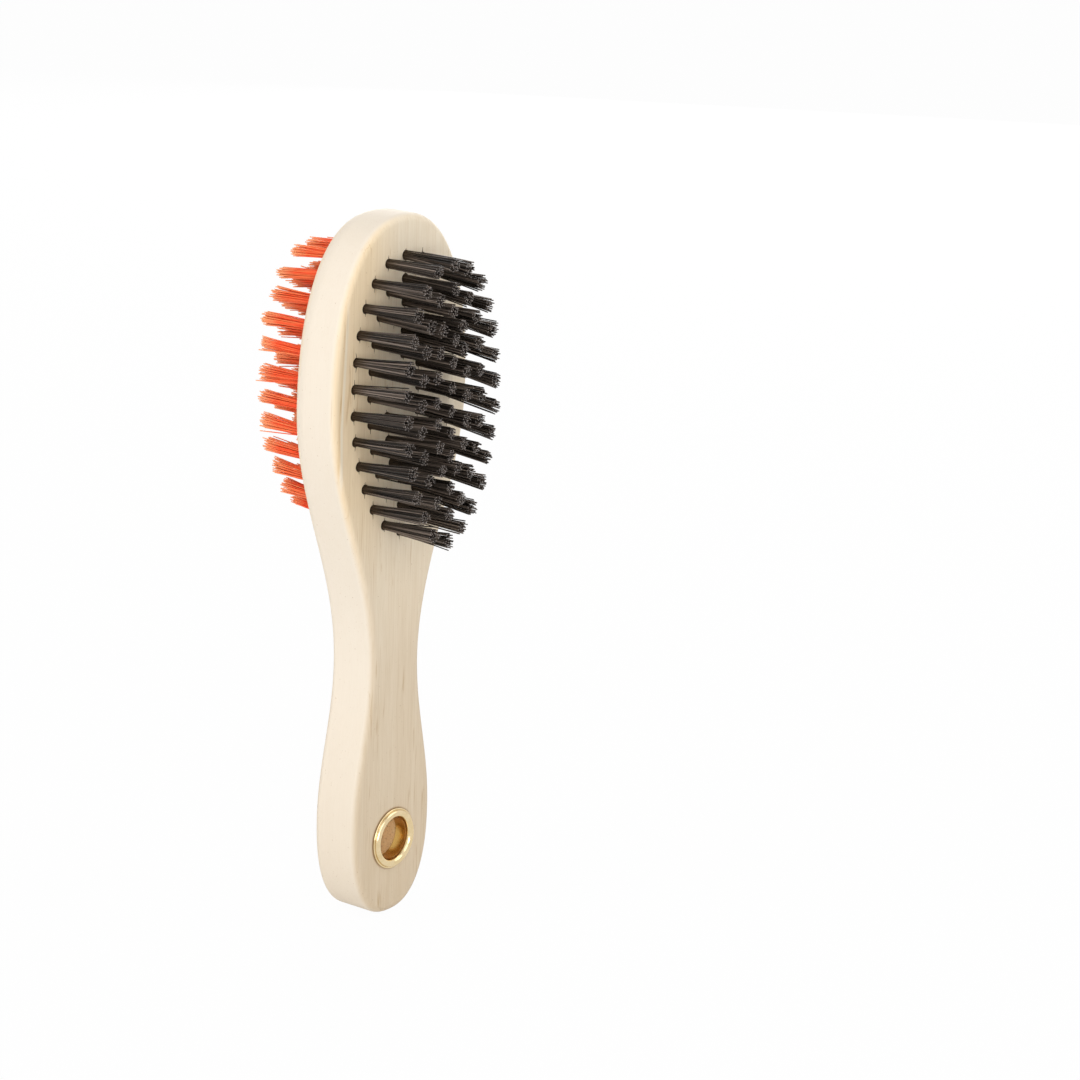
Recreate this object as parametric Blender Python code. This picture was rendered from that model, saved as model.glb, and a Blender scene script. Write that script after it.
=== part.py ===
"""A double-sided clothes brush: a flat wooden paddle with a field of black bristles on its front face
and one of orange bristles on its back face, and a brass eyelet pressed into each end of its hanging hole.

Frame: metres. +Z runs along the brush from the handle to the head, +X across its width and +Y through
its thickness, so the black bristles point along -Y and the orange ones along +Y. The origin is the
centre of the hanging hole. Heights are measured from the end of the handle.
"""

import math
import random

import bmesh
import bpy
import numpy as np

MM = 0.001

# Wooden body: the head reaches from its widest place up to its end, and the neck down to the waist. Its
# edges are rounded alike, but the back one is sanded ever deeper from the waist to the end of the head.
LENGTH = 201 * MM
THICKNESS = 15.2 * MM
EDGE_RADIUS = 2.2 * MM
HEAD_BACK_EDGE_REACH = 4.1 * MM
HEAD_SIDE_FLAT = 6.6 * MM
HEAD_WIDTH = 57.7 * MM
HEAD_REACH = 51 * MM
HEAD_END_POWER = 2.27
NECK_REACH = 76 * MM
WAIST_WIDTH = 21 * MM
GRIP_WIDTH = 33.4 * MM
GRIP_WIDEST_HEIGHT = 28 * MM
GRIP_END_POWER = 2.35

# Hanging hole and the two brass eyelets that line its mouths
EYELET_HEIGHT = 22.2 * MM
THROAT_RADIUS = 6 * MM
EYELET_WALL = 0.4 * MM
FLANGE_RADIUS = 8.8 * MM
FLANGE_RISE = 1.2 * MM
BARREL_DEPTH = 4 * MM

# Fields of tufts, the same on both faces: as many rings inside each other as fit, and a row up the
# centre. The rings step in evenly at their sides, and by a share of that at their top and bottom.
FIELD_SIDE_MARGIN = 8.4 * MM
FIELD_TOP_MARGIN = 11.2 * MM
FIELD_WAIST_MARGIN = 38.4 * MM
FIELD_TOP_POWER = 2.35
FIELD_BOTTOM_POWER = 1.8
LEAST_RING_STEP = 6 * MM
TOP_STEP_SHARE = 0.94
BOTTOM_STEP_SHARE = 1.115
CENTRE_ROW_MARGIN = 1.5 * MM
TUFT_SPACING = 7.1 * MM
TUFT_DIAMETER = 2.6 * MM
WOOD_BETWEEN_HOLES = 3.2 * MM

# Bristles, whose tufts spread until the nearest tips are a gap apart. The further out a tuft stands, the
# more it leans towards the middle of the field: so far at the field's sides and at its ends.
BLACK_LENGTH = 18 * MM
BLACK_TIP_GAP = 0.96 * MM
BLACK_SIDE_LEAN = 1.7 * MM
BLACK_END_LEAN = 0.3 * MM
ORANGE_LENGTH = 19.2 * MM
ORANGE_TIP_GAP = 0.36 * MM
ORANGE_SIDE_LEAN = 1 * MM
ORANGE_END_LEAN = 1.7 * MM
TRIM_VARIATION = 0.5 * MM

# Strips that the rings, from the outer one in, and the centre row are made in
RING_NAMES = ("outer", "middle", "inner")
OUTER_RING_STRIPS = 9
FEWER_STRIPS_A_RING = 2
CENTRE_ROW_STRIPS = 2

# Each tuft is drawn as a few stout strands, fused to a slice of the wood round their holes
STRANDS = 3
STRAND_SIDES = 3
STRAND_SHARE = 0.46
STRAND_ROOT_DEPTH = 1.5 * MM
SLICE_MARGIN = 0.4 * MM

# Gap between pieces that touch, and how far a cutter runs past the face that it opens
CLEARANCE = 0.3 * MM
OVERRUN = 1 * MM

# Facets
CAP_STEPS = 15
HANDLE_STEPS = 8
NECK_STEPS = 14
EDGE_STEPS = 4
ROUND_STEPS = 32
DOME_STEPS = 5
SLICE_END_STEPS = 4
RING_SAMPLES = 720

HALF_THICKNESS = THICKNESS / 2
HEAD_BACK_EDGE_DEPTH = THICKNESS - EDGE_RADIUS - HEAD_SIDE_FLAT
HEAD_WIDEST_HEIGHT = LENGTH - HEAD_REACH
WAIST_HEIGHT = HEAD_WIDEST_HEIGHT - NECK_REACH
FIELD_HALF_WIDTH = HEAD_WIDTH / 2 - FIELD_SIDE_MARGIN
FIELD_TOP_REACH = HEAD_REACH - FIELD_TOP_MARGIN
FIELD_BOTTOM_REACH = NECK_REACH - FIELD_WAIST_MARGIN
TUFT_HOLE_DEPTH = (THICKNESS - WOOD_BETWEEN_HOLES) / 2
BARREL_RADIUS = THROAT_RADIUS + EYELET_WALL
SLICE_RADIUS = TUFT_DIAMETER / 2 + SLICE_MARGIN
FRONT, BACK = -1, 1


def clear_scene():
    for obj in list(bpy.data.objects):
        bpy.data.objects.remove(obj, do_unlink=True)


def make_material(name, colour, roughness, metallic=0.0):
    material = bpy.data.materials.new(name)
    material.use_nodes = True
    shader = material.node_tree.nodes["Principled BSDF"]
    shader.inputs["Base Color"].default_value = (*colour, 1.0)
    shader.inputs["Roughness"].default_value = roughness
    shader.inputs["Metallic"].default_value = metallic
    return material


def add_object(name, bm, material, smooth_angle=None):
    """Turns a bmesh into an object of the scene, its faces pointing out."""
    bmesh.ops.recalc_face_normals(bm, faces=bm.faces)
    mesh = bpy.data.meshes.new(name)
    bm.to_mesh(mesh)
    bm.free()
    if smooth_angle is not None:
        mesh.shade_smooth()
        mesh.set_sharp_from_angle(angle=smooth_angle)
    if material is not None:
        mesh.materials.append(material)
    obj = bpy.data.objects.new(name, mesh)
    bpy.context.scene.collection.objects.link(obj)
    return obj


def make_helper(obj):
    """Marks an object that only shapes another one."""
    obj.hide_render = True
    obj.display_type = "WIRE"
    return obj


def combine(target, tool, operation):
    modifier = target.modifiers.new(tool.name, "BOOLEAN")
    modifier.operation = operation
    modifier.solver = "EXACT"
    modifier.material_mode = "TRANSFER"
    modifier.object = tool


def level(height):
    """The Z of a height above the end of the handle."""
    return height - EYELET_HEIGHT


def bridge(bm, first, second):
    """Joins two closed loops of as many vertices with quads."""
    for i, vert in enumerate(first):
        j = (i + 1) % len(first)
        bm.faces.new((vert, first[j], second[j], second[i]))


def prism(bm, outline, near_y, far_y, far_outline=None):
    """Adds a closed body whose ends are flat outlines of (x, z) points at two depths."""
    near = [bm.verts.new((x, near_y, z)) for x, z in outline]
    far = [bm.verts.new((x, far_y, z)) for x, z in far_outline or outline]
    bm.faces.new(near)
    bm.faces.new(reversed(far))
    bridge(bm, near, far)


# Wooden body


def cap_points(half_width, reach, power, steps):
    """A rounded end: (half width, rise) from its widest place to its tip, as a superellipse.

    The steps are closer together towards the tip, where the outline turns fastest.
    """
    angles = [math.pi / 2 * math.sin(math.pi / 2 * i / steps) for i in range(steps + 1)]
    return [
        (half_width * math.cos(a) ** (2 / power), reach * math.sin(a) ** (2 / power))
        for a in angles
    ]


def ease_points(low, high, steps):
    """Points between two (half width, height) places, leaving both along the brush."""
    points = []
    for i in range(1, steps):
        share = i / steps
        ease = (1 - math.cos(math.pi * share)) / 2
        points.append(
            (low[0] + (high[0] - low[0]) * ease, low[1] + (high[1] - low[1]) * share)
        )
    return points


def body_side():
    """(half width, height) up the +X side, from the end of the handle to the top of the head."""
    grip = (GRIP_WIDTH / 2, GRIP_WIDEST_HEIGHT)
    waist = (WAIST_WIDTH / 2, WAIST_HEIGHT)
    head = (HEAD_WIDTH / 2, HEAD_WIDEST_HEIGHT)
    handle_end = cap_points(grip[0], grip[1], GRIP_END_POWER, CAP_STEPS)
    head_end = cap_points(head[0], HEAD_REACH, HEAD_END_POWER, CAP_STEPS)
    return (
        [(x, grip[1] - drop) for x, drop in reversed(handle_end)]
        + ease_points(grip, waist, HANDLE_STEPS)
        + [waist]
        + ease_points(waist, head, NECK_STEPS)
        + [(x, head[1] + rise) for x, rise in head_end]
    )


def body_outline():
    """The closed outline of the paddle as (x, height) points, from the end of the handle up the +X side."""
    side = body_side()
    side[0], side[-1] = (0, side[0][1]), (0, side[-1][1])
    return np.array(side + [(-x, height) for x, height in reversed(side[1:-1])])


def inward_normals(outline):
    """Unit vectors from each point of a closed outline towards its inside."""
    tangent = np.roll(outline, -1, axis=0) - np.roll(outline, 1, axis=0)
    normal = np.stack([-tangent[:, 1], tangent[:, 0]], axis=1)
    return normal / np.linalg.norm(normal, axis=1)[:, None]


def edge_sizes(heights, face):
    """How far a face's rounded edge reaches in from the outline and down from the face, by height."""
    share = np.clip((heights - WAIST_HEIGHT) / (LENGTH - WAIST_HEIGHT), 0, 1)
    ease = share * share * (3 - 2 * share) * (face == BACK)
    reach = EDGE_RADIUS + (HEAD_BACK_EDGE_REACH - EDGE_RADIUS) * ease
    depth = EDGE_RADIUS + (HEAD_BACK_EDGE_DEPTH - EDGE_RADIUS) * ease
    return reach, depth


def add_face_ladder(bm, loop):
    """Fills a loop, symmetric about its first vertex, with strips from side to side."""
    count = len(loop)
    for i in range(count // 2):
        rung = (loop[i], loop[i + 1], loop[count - i - 1], loop[(count - i) % count])
        bm.faces.new(dict.fromkeys(rung))


def make_body(wood):
    """The paddle, its edges rounded all the way round both faces."""
    outline = body_outline()
    normals = inward_normals(outline)
    turns = [math.pi / 2 * i / EDGE_STEPS for i in range(EDGE_STEPS + 1)]
    levels = [(FRONT, a) for a in turns] + [(BACK, a) for a in reversed(turns)]
    bm = bmesh.new()
    loops = []
    for face, angle in levels:
        reach, depth = edge_sizes(outline[:, 1], face)
        spots = outline + normals * (reach * (1 - math.sin(angle)))[:, None]
        depths = face * (HALF_THICKNESS - depth * (1 - math.cos(angle)))
        loops.append([bm.verts.new((x, y, level(z))) for (x, z), y in zip(spots, depths)])
    for first, second in zip(loops, loops[1:]):
        bridge(bm, first, second)
    add_face_ladder(bm, loops[0])
    add_face_ladder(bm, loops[-1])
    return add_object("wood_body", bm, wood, math.radians(30))


def make_bore():
    """Cutter for the hanging hole, which clears the eyelets' barrels."""
    bm = bmesh.new()
    radius = BARREL_RADIUS + CLEARANCE
    turns = [math.tau * i / ROUND_STEPS for i in range(ROUND_STEPS)]
    circle = [(radius * math.cos(a), radius * math.sin(a)) for a in turns]
    reach = HALF_THICKNESS + OVERRUN
    prism(bm, circle, -reach, reach)
    return make_helper(add_object("hanging_hole_cutter", bm, None))


# Eyelets


def eyelet_profile():
    """(radius, height above the wood) round the wall of an eyelet: domed flange, then barrel."""
    middle = (FLANGE_RADIUS + THROAT_RADIUS) / 2
    reach = (FLANGE_RADIUS - THROAT_RADIUS) / 2
    turns = [math.pi * i / DOME_STEPS for i in range(DOME_STEPS + 1)]
    outside = [
        (middle + reach * math.cos(a), CLEARANCE + FLANGE_RISE * math.sin(a)) for a in turns
    ]
    inside = [
        (
            middle + (reach - EYELET_WALL) * math.cos(a),
            CLEARANCE + (FLANGE_RISE - EYELET_WALL) * math.sin(a),
        )
        for a in reversed(turns)
    ]
    barrel_end = [(THROAT_RADIUS, -BARREL_DEPTH), (BARREL_RADIUS, -BARREL_DEPTH)]
    return outside + barrel_end + inside


def make_eyelet(name, face, brass):
    bm = bmesh.new()
    rings = []
    for radius, rise in eyelet_profile():
        y = face * (HALF_THICKNESS + rise)
        turns = [math.tau * i / ROUND_STEPS for i in range(ROUND_STEPS)]
        rings.append(
            [bm.verts.new((radius * math.cos(a), y, radius * math.sin(a))) for a in turns]
        )
    for i, ring in enumerate(rings):
        bridge(bm, ring, rings[(i + 1) % len(rings)])
    return add_object(name, bm, brass, math.radians(50))


# Tufts


def field_path(step_in):
    """A closed ring of (x, height) points round the field, from its top down the -X side."""
    top_reach = FIELD_TOP_REACH - step_in * TOP_STEP_SHARE
    bottom_reach = FIELD_BOTTOM_REACH - step_in * BOTTOM_STEP_SHARE
    half_width = FIELD_HALF_WIDTH - step_in
    points = []
    for i in range(RING_SAMPLES + 1):
        angle = math.tau * i / RING_SAMPLES
        across, along = math.sin(angle), math.cos(angle)
        power = FIELD_TOP_POWER if along > 0 else FIELD_BOTTOM_POWER
        reach = top_reach if along > 0 else bottom_reach
        x = -half_width * math.copysign(abs(across) ** (2 / power), across)
        rise = reach * math.copysign(abs(along) ** (2 / power), along)
        points.append((x, HEAD_WIDEST_HEIGHT + rise))
    return np.array(points)


def places_along(path, travel, stops):
    """The (x, z) places at some distances along a path of (x, height) points."""
    x = np.interp(stops, travel, path[:, 0])
    height = np.interp(stops, travel, path[:, 1])
    return [(px, level(pz)) for px, pz in zip(x, height)]


def path_travel(path):
    steps = np.linalg.norm(np.diff(path, axis=0), axis=1)
    return np.concatenate([[0], np.cumsum(steps)])


def ring_places(step_in):
    """A ring's tufts at equal spacing, one of them at its top and one at its bottom."""
    path = field_path(step_in)
    travel = path_travel(path)
    pairs = max(1, round(travel[-1] / TUFT_SPACING / 2))
    stops = np.linspace(0, travel[-1], 2 * pairs, endpoint=False)
    return places_along(path, travel, np.roll(stops, 1))


def centre_places():
    """The tufts of the centre row, from top to bottom."""
    path = field_path(FIELD_HALF_WIDTH)[: RING_SAMPLES // 2 + 1]
    travel = path_travel(path)
    first, last = CENTRE_ROW_MARGIN, travel[-1] - CENTRE_ROW_MARGIN
    count = max(2, round((last - first) / TUFT_SPACING) + 1)
    return places_along(path, travel, np.linspace(first, last, count))


def field_strips():
    """The tuft places of each strip of the field, by its name."""
    rings = max(1, int(FIELD_HALF_WIDTH / LEAST_RING_STEP))
    rows = [("centre", centre_places(), CENTRE_ROW_STRIPS)]
    for k in range(rings):
        name = RING_NAMES[k] if k < len(RING_NAMES) else f"ring_{k + 1}"
        strips = max(1, OUTER_RING_STRIPS - FEWER_STRIPS_A_RING * k)
        rows.append((name, ring_places(FIELD_HALF_WIDTH * k / rings), strips))
    return {
        f"{name}_tufts_{number}": run
        for name, places, strips in rows
        for number, run in enumerate(np.array_split(places, strips), start=1)
    }


def strip_outline(places, radius):
    """The round-ended outline of a strip that follows a few places."""
    tangent = np.gradient(places, axis=0) if len(places) > 1 else np.array([[0.0, 1.0]])
    tangent /= np.linalg.norm(tangent, axis=1)[:, None]
    normal = np.stack([-tangent[:, 1], tangent[:, 0]], axis=1)
    outline = []
    for way, order in ((1, range(len(places))), (-1, range(len(places) - 1, -1, -1))):
        outline += [places[i] + way * radius * normal[i] for i in order]
        end = order[-1]
        for step in range(1, SLICE_END_STEPS):
            angle = math.pi * step / SLICE_END_STEPS
            out = math.cos(angle) * normal[end] + math.sin(angle) * tangent[end]
            outline.append(places[end] + way * radius * out)
    return [tuple(point) for point in outline]


def strand_section(place, tuft_radius, angle):
    """The (x, z) corners of one strand of a tuft, an inner corner towards the tuft's middle."""
    radius = tuft_radius * STRAND_SHARE
    half_side = radius * math.sin(math.pi / STRAND_SIDES)
    offset = math.sqrt(tuft_radius**2 - half_side**2) - radius * math.cos(math.pi / STRAND_SIDES)
    middle_x = place[0] + offset * math.cos(angle)
    middle_z = place[1] + offset * math.sin(angle)
    corners = []
    for i in range(STRAND_SIDES):
        turn = angle + math.pi + math.tau * i / STRAND_SIDES
        corners.append((middle_x + radius * math.cos(turn), middle_z + radius * math.sin(turn)))
    return corners


def leaned(place, lean):
    """Where the middle of a tuft's tips ends up, from its lean at the field's sides and at its ends."""
    x, z = place
    rise = z - level(HEAD_WIDEST_HEIGHT)
    field_reach = FIELD_TOP_REACH if rise > 0 else FIELD_BOTTOM_REACH
    return (x - lean[0] * x / FIELD_HALF_WIDTH, z - lean[1] * rise / field_reach)


def least_tip_distance(strips, lean):
    """How near the tips of any two tufts come, from middle to middle."""
    tips = [leaned(place, lean) for places in strips.values() for place in places]
    return min(math.dist(a, b) for i, a in enumerate(tips) for b in tips[:i])


def add_strands(bm, place, tip_place, face, length, tip_diameter, draw):
    """One tuft: strands that spread from the hole to the tips, the longest trimmed to one plane."""
    first = draw.uniform(0, math.tau)
    for i in range(STRANDS):
        angle = first + math.tau * i / STRANDS
        short_by = max(0, draw.uniform(-TRIM_VARIATION, TRIM_VARIATION))
        prism(
            bm,
            strand_section(place, TUFT_DIAMETER / 2, angle),
            face * (HALF_THICKNESS - STRAND_ROOT_DEPTH),
            face * (HALF_THICKNESS + length - short_by),
            strand_section(tip_place, tip_diameter / 2, angle),
        )


def make_tuft_strip(name, places, face, length, lean, tip_diameter, materials, draw):
    """A run of neighbouring tufts, fused to the slice of wood that holds them."""
    wood, nylon = materials
    strands = bmesh.new()
    for place in places:
        add_strands(strands, place, leaned(place, lean), face, length, tip_diameter, draw)
    strands = make_helper(add_object(f"{name}_strands", strands, nylon))
    strip = bmesh.new()
    floor = HALF_THICKNESS - TUFT_HOLE_DEPTH
    prism(strip, strip_outline(places, SLICE_RADIUS), face * HALF_THICKNESS, face * floor)
    strip = add_object(name, strip, wood)
    combine(strip, strands, "UNION")
    return strip


def add_pocket(bm, places, face):
    """Cutter for the seat of one strip."""
    floor = HALF_THICKNESS - TUFT_HOLE_DEPTH - CLEARANCE
    outline = strip_outline(places, SLICE_RADIUS + CLEARANCE)
    prism(bm, outline, face * (HALF_THICKNESS + OVERRUN), face * floor)


def make_field(colour, face, length, lean, tip_gap, materials, pockets, seed):
    draw = random.Random(seed)
    strips = field_strips()
    tip_diameter = least_tip_distance(strips, lean) - tip_gap
    for name, places in strips.items():
        node = f"{colour}_{name}"
        make_tuft_strip(node, places, face, length, lean, tip_diameter, materials, draw)
        add_pocket(pockets, places, face)


def main():
    clear_scene()
    wood = make_material("wood", (0.82, 0.70, 0.52), 0.55)
    brass = make_material("brass", (0.80, 0.60, 0.28), 0.22, metallic=1.0)
    black = make_material("black_nylon", (0.022, 0.018, 0.016), 0.42)
    orange = make_material("orange_nylon", (0.95, 0.12, 0.025), 0.40)

    body = make_body(wood)
    pockets = bmesh.new()
    black_lean = (BLACK_SIDE_LEAN, BLACK_END_LEAN)
    orange_lean = (ORANGE_SIDE_LEAN, ORANGE_END_LEAN)
    make_field("black", FRONT, BLACK_LENGTH, black_lean, BLACK_TIP_GAP, (wood, black), pockets, 11)
    make_field("orange", BACK, ORANGE_LENGTH, orange_lean, ORANGE_TIP_GAP, (wood, orange), pockets, 23)
    combine(body, make_helper(add_object("pocket_cutter", pockets, None)), "DIFFERENCE")
    combine(body, make_bore(), "DIFFERENCE")
    make_eyelet("front_eyelet", FRONT, brass)
    make_eyelet("back_eyelet", BACK, brass)


main()
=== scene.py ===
import math

import bmesh
import bpy
import numpy as np
from mathutils import Matrix, Vector


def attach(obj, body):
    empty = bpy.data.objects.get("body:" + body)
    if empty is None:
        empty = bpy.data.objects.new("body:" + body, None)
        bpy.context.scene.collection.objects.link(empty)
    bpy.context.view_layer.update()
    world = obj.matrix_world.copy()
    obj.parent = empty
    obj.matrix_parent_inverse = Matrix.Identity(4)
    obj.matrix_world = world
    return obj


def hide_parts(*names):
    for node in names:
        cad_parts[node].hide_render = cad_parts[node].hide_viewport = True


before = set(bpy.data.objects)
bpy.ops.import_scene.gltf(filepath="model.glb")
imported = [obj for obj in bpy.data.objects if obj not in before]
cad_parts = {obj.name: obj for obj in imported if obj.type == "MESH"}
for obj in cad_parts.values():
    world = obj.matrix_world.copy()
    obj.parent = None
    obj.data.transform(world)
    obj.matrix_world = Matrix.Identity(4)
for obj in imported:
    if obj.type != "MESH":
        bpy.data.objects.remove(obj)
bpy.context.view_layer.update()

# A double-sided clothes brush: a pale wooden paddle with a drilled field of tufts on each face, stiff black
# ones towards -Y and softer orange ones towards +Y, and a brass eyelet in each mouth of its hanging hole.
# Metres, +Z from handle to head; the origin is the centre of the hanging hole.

MM = 0.001

# Sizes of the real object, as the frame holds them
LENGTH = 201 * MM
THICKNESS = 15.2 * MM
HEAD_WIDTH = 57.7 * MM
EDGE_RADIUS = 2.2 * MM
HEAD_BACK_EDGE_REACH = 4.1 * MM
HEAD_SIDE_FLAT = 6.6 * MM
HEAD_REACH = 51 * MM
HEAD_END_POWER = 2.27
NECK_REACH = 76 * MM
WAIST_WIDTH = 21 * MM
GRIP_WIDTH = 33.4 * MM
GRIP_WIDEST_HEIGHT = 28 * MM
GRIP_END_POWER = 2.35
EYELET_HEIGHT = 22.2 * MM
THROAT_RADIUS = 6 * MM
BORE_RADIUS = 6.7 * MM
FLANGE_RADIUS = 8.8 * MM
FLANGE_RISE = 1.2 * MM
FLANGE_GAP = 0.3 * MM
BARREL_DEPTH = 4 * MM
FIELD_SIDE_MARGIN = 8.4 * MM
FIELD_TOP_MARGIN = 11.2 * MM
FIELD_WAIST_MARGIN = 38.4 * MM
FIELD_TOP_POWER = 2.35
FIELD_BOTTOM_POWER = 1.8
TOP_STEP_SHARE = 0.94
BOTTOM_STEP_SHARE = 1.115
CENTRE_ROW_MARGIN = 1.5 * MM
TUFT_SPACING = 7.1 * MM
RING_STRIPS = {"outer": 9, "middle": 7, "inner": 5}
CENTRE_ROW_STRIPS = 2

# Finer sizes, which only the looks have
HOLE_RADIUS = 1.42 * MM
HOLE_DEPTH = 3 * MM
NICK_REACH = 1.4 * MM
NICK_LEAST_SHARE = 0.3
NICK_SHIFT = 0.25 * MM
NICK_HALF_WIDTH = 0.16 * MM
NICK_END_SHARE = 0.35
OVERRUN = 0.5 * MM
BRISTLE_ROOT_DEPTH = 2.4 * MM
BRISTLE_RADIUS_SHARES = (0.9, 1.1)
EYELET_LIFT = FLANGE_GAP * 0.2
EYELET_WALL = 0.32 * MM
RIM_ROLL = 0.28 * MM
DOME_FOOT_INSET = RIM_ROLL * 1.6
DOME_FOOT_RISE = RIM_ROLL * 1.75
CREST_RADIUS = 7.35 * MM
THROAT_DROP = 1.9 * MM
BARREL_LIP = 0.1 * MM
BARREL_LIP_DEPTH = 0.15 * MM
# Below this depth the barrel's brass is darker: painted reflection of the dark wood
BARREL_PAINTED_REFLECTION_DEPTH = 0.55 * MM

# Facets, creases and seeds
CAP_STEPS = 44
HANDLE_STEPS = 24
NECK_STEPS = 40
EDGE_STEPS = 9
HOLE_STEPS = 20
ROUND_STEPS = 96
RIM_STEPS = 6
DOME_STEPS = 8
THROAT_STEPS = 10
RING_SAMPLES = 720
BRISTLE_SIDES = 5
BRISTLE_SECTIONS = 5
BODY_CREASE = math.radians(40)
EYELET_CREASE = math.radians(60)
BRISTLE_CREASE = math.radians(80)
GOLDEN_ANGLE = math.pi * (3 - math.sqrt(5))
NICK_SEED, BLACK_SEED, ORANGE_SEED = 5, 11, 23

# Where the photograph was taken from, about the middle of the brush
CAMERA_AZIMUTH = math.radians(-53.08)
CAMERA_ELEVATION = math.radians(15.5)
CAMERA_ROLL = math.radians(1.93)
CAMERA_TARGET_HEIGHT = 100 * MM
CAMERA_DISTANCE = 974.8 * MM
CAMERA_RIGHT = 45.26 * MM
CAMERA_UP = 7.97 * MM
CAMERA_FOCAL_PX = 3500
PHOTO_PX = 1080
SENSOR_WIDTH = 36

# The world's strength on the brush and where the background shows. A lamp has its direction and its
# distance from the middle of the brush, its size and its power.
WORLD_LIGHT = 0.49
WORLD_SEEN = 0.992
LAMPS = {
    "key_lamp": ((-0.65, 0.3, 0.7), 2.0, 1.3, 9.2),
    "camera_lamp": ((-0.8, -0.75, 0.1), 2.0, 1.1, 12.4),
    "head_lamp": ((-0.5, -0.7, 0.55), 0.55, 0.4, 0.38),
    "top_lamp": ((0.5, -0.5, 0.8), 1.0, 0.8, 1.6),
    "left_lamp": ((-0.9, 0.3, -0.2), 1.5, 1.2, 11.5),
    "fill_lamp": ((0.9, 0.5, 0.3), 1.5, 1.2, 9.0),
}
FLOOR_HALF_SIZE = 8
FLOOR_TONE = (0.8, 0.8, 0.8, 1)
FLOOR_WHITE_SHARE = 0.97
WHITE = (1, 1, 1, 1)

HALF_THICKNESS = THICKNESS / 2
HEAD_BACK_EDGE_DEPTH = THICKNESS - EDGE_RADIUS - HEAD_SIDE_FLAT
HEAD_WIDEST_HEIGHT = LENGTH - HEAD_REACH
WAIST_HEIGHT = HEAD_WIDEST_HEIGHT - NECK_REACH
FIELD_HALF_WIDTH = HEAD_WIDTH / 2 - FIELD_SIDE_MARGIN
FIELD_TOP_REACH = HEAD_REACH - FIELD_TOP_MARGIN
FIELD_BOTTOM_REACH = NECK_REACH - FIELD_WAIST_MARGIN
FRONT, BACK = -1, 1


def level(height):
    """The Z of a height above the end of the handle."""
    return height - EYELET_HEIGHT


# Nodes


class Nodes:
    """A material's or world's node tree, with short calls to add and join nodes."""

    def __init__(self, tree):
        self.tree = tree

    def add(self, kind, inputs=None, **settings):
        node = self.tree.nodes.new(kind)
        for name, value in settings.items():
            setattr(node, name, value)
        for name, value in (inputs or {}).items():
            self.set(node.inputs[name], value)
        return node

    def set(self, socket, value):
        if isinstance(value, bpy.types.NodeSocket):
            self.tree.links.new(value, socket)
        else:
            socket.default_value = value

    def math(self, operation, first, second=0.0, clamp=False):
        node = self.add("ShaderNodeMath", operation=operation, use_clamp=clamp)
        self.set(node.inputs[0], first)
        self.set(node.inputs[1], second)
        return node.outputs[0]

    def mix(self, share, first, second, blend="MIX"):
        node = self.add("ShaderNodeMix", data_type="RGBA", blend_type=blend)
        self.set(node.inputs[0], share)
        self.set(node.inputs[6], first)
        self.set(node.inputs[7], second)
        return node.outputs[2]

    def ramp(self, value, low, high, start=0.0, end=1.0):
        node = self.add("ShaderNodeMapRange", clamp=True)
        for socket, number in zip(node.inputs, (value, low, high, start, end)):
            self.set(socket, number)
        return node.outputs[0]

    def times(self, *values):
        """The product of some numbers."""
        product = values[0]
        for value in values[1:]:
            product = self.math("MULTIPLY", product, value)
        return product

    def between(self, value, start, full, fading, end):
        """1 from full to fading, and 0 before start and after end."""
        return self.times(self.ramp(value, start, full), self.ramp(value, fading, end, 1, 0))

    def axes(self, vector):
        """The three numbers of a vector."""
        return self.add("ShaderNodeSeparateXYZ", {"Vector": vector}).outputs

    def tint(self, share, colour, tone):
        """A colour multiplied by a tone, as far as the share says."""
        return self.mix(share, colour, tone, "MULTIPLY")

    def noise(self, place, scale, detail=3.0, roughness=0.55):
        """Noise whose cells measure the three sizes of scale, in metres."""
        stretch = self.add("ShaderNodeMapping", {"Scale": [1 / size for size in scale]})
        self.set(stretch.inputs["Vector"], place)
        sizes = {"Scale": 1.0, "Detail": detail, "Roughness": roughness}
        node = self.add("ShaderNodeTexNoise", sizes)
        self.set(node.inputs["Vector"], stretch.outputs[0])
        return node.outputs["Fac"]

    def bump(self, shader, height, strength, distance):
        """Gives a shader the relief of a height."""
        relief = {"Strength": strength, "Distance": distance, "Height": height}
        self.set(shader.inputs["Normal"], self.add("ShaderNodeBump", relief).outputs[0])


def new_material(name, **sockets):
    """A Principled material: its nodes, its shader, and the object-space place that its textures use."""
    material = bpy.data.materials.new(name)
    material.use_nodes = True
    nodes = Nodes(material.node_tree)
    shader = material.node_tree.nodes["Principled BSDF"]
    for socket, value in sockets.items():
        shader.inputs[socket.replace("_", " ")].default_value = value
    place = nodes.add("ShaderNodeTexCoord").outputs["Object"]
    return material, nodes, shader, place


# Materials

# The range that most of a noise lies in, and its middle
NOISE_RANGE = (0.3, 0.7)
NOISE_MIDDLE_RANGE = (0.35, 0.65)
NOISE_MIDDLE = 0.5

# Tones of the wood. A shade multiplies what is under it.
SIDE_TONE = (0.858, 0.763, 0.638, 1)
# The head's face is paler than the handle's: partly the wood's own tone, partly painted light that lifts
# the bristles' shade
HEAD_TONE_WITH_PAINTED_LIGHT = (0.955, 0.835, 0.655, 1)
HANDLE_TONE = (0.775, 0.652, 0.492, 1)
END_SHADE = (0.93, 0.908, 0.87, 1)
# Painted shade: a browner band over the -X half of the head's faces, among the bristles
PAINTED_SHADE_BAND_TONE = (1.0, 0.925, 0.81, 1)
LINE_TONE = (0.97, 0.86, 0.695, 1)
LINE_STRENGTH = 0.85
STRIP_SHADE = (0.90, 0.85, 0.77, 1)
# Painted shadow: a thin dark ring on the wood round each eyelet's flange
FLANGE_PAINTED_SHADOW = (0.55, 0.42, 0.28, 1)
FLANGE_SHADE_STRENGTH = 0.8

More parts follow.
